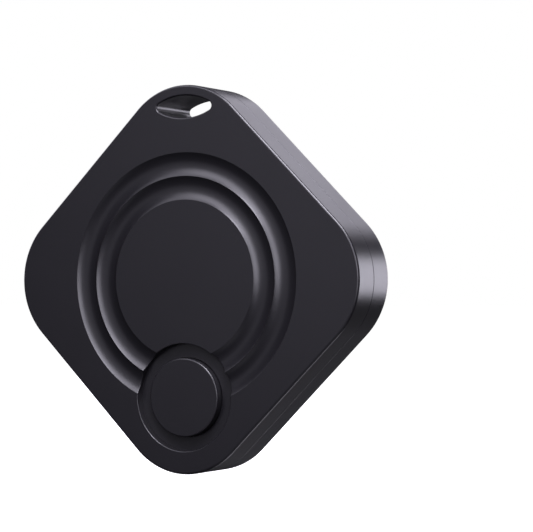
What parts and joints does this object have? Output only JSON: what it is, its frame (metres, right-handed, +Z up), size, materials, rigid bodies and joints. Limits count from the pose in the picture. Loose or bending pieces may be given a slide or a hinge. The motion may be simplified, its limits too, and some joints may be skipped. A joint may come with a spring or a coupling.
{
  "type": "tracker tag",
  "caption": "Flat square tracker tag with rounded corners, hung by a slot in one corner, with ring troughs in its front, a round push button, and a coin cell, radio board and buzzer inside.",
  "frame": {"origin": "middle of the lanyard slot, at mid thickness, where the tag hangs", "axes": "+Z up to the hanging corner, +Y out of the rear face, the button and rings face -Y, +X to the right as seen from the front"},
  "size_m": [0.0486, 0.0082, 0.0485],
  "materials": {
    "case_plastic": "satin charcoal moulded plastic",
    "button_plastic": "satin charcoal moulded plastic",
    "seal_rubber": "soft black silicone",
    "switch_black": "moulded black",
    "switch_steel": "stamped steel",
    "plunger_plastic": "moulded ivory",
    "dome_steel": "bright spring steel",
    "tinned_brass": "tinned",
    "board_laminate": "green solder mask on glass-filled laminate",
    "screw_steel": "zinc plated",
    "chip_epoxy": "black epoxy",
    "crystal_lid": "nickel plated lid",
    "antenna_ceramic": "fired ceramic",
    "inductor_ferrite": "dark ferrite",
    "capacitor_ceramic": "tan ceramic",
    "resistor_body": "black glaze",
    "gold_pads": "gold flash",
    "spring_steel": "nickel plated spring steel",
    "cell_steel": "nickel plated steel",
    "cell_seal": "grommet of moulded nylon",
    "cathode_pellet": "pressed powder",
    "separator_felt": "thin felt",
    "anode_metal": "soft rolled metal",
    "adhesive_foam": "double-sided foam tape",
    "buzzer_brass": "rolled",
    "buzzer_ceramic": "silvered ceramic",
    "wire_red": "insulated",
    "wire_black": "insulated",
    "solder": "bright solder"
  },
  "bodies": {
    "case": {"front_shell": "case_plastic", "shell_seal": "seal_rubber", "switch_housing": "switch_black", "switch_cover": "switch_steel", "switch_dome": "dome_steel", "switch_terminals": "tinned_brass", "circuit_board": "board_laminate", "board_screws": "screw_steel", "radio_chip": "chip_epoxy", "main_crystal": "crystal_lid", "sleep_crystal": "crystal_lid", "chip_antenna": "antenna_ceramic", "buzzer_inductor": "inductor_ferrite", "buzzer_transistor": "chip_epoxy", "capacitors": "capacitor_ceramic", "resistors": "resistor_body", "test_pads": "gold_pads", "negative_contact": "spring_steel", "positive_contacts": "spring_steel", "buzzer_adhesive": "adhesive_foam", "buzzer_plate": "buzzer_brass", "buzzer_ceramic": "buzzer_ceramic", "buzzer_wire_positive": "wire_red", "buzzer_wire_negative": "wire_black", "solder_joints": "solder"},
    "button": {"button_cap": "button_plastic"},
    "switch_plunger": {"switch_plunger": "plunger_plastic"},
    "rear_cover": {"rear_shell": "case_plastic"},
    "coin_cell": {"cell_can": "cell_steel", "cell_cap": "cell_steel", "cell_gasket": "cell_seal", "cell_cathode": "cathode_pellet", "cell_separator": "separator_felt", "cell_anode": "anode_metal"}
  },
  "joints": [
    {"name": "button_press", "type": "slide", "parent": "case", "child": "button", "axis": [0, 1, 0], "range_m": [0, 0.00025], "stiffness_N_per_m": 4000},
    {"name": "plunger_press", "type": "slide", "parent": "case", "child": "switch_plunger", "axis": [0, 1, 0], "range_m": [0, 0.00025], "deforming": ["switch_dome"]},
    {"name": "cover_release", "type": "slide", "parent": "case", "child": "rear_cover", "axis": [0, 1, 0], "range_m": [0, 0.016]},
    {"name": "cell_lift", "type": "slide", "parent": "case", "child": "coin_cell", "axis": [0, 1, 0], "range_m": [0, 0.008]}
  ],
  "couplings": [
    {"joint": "plunger_press", "follows": "button_press", "ratio": 1},
    {"joint": "cell_lift", "follows": "cover_release", "ratio": 0.5}
  ]
}
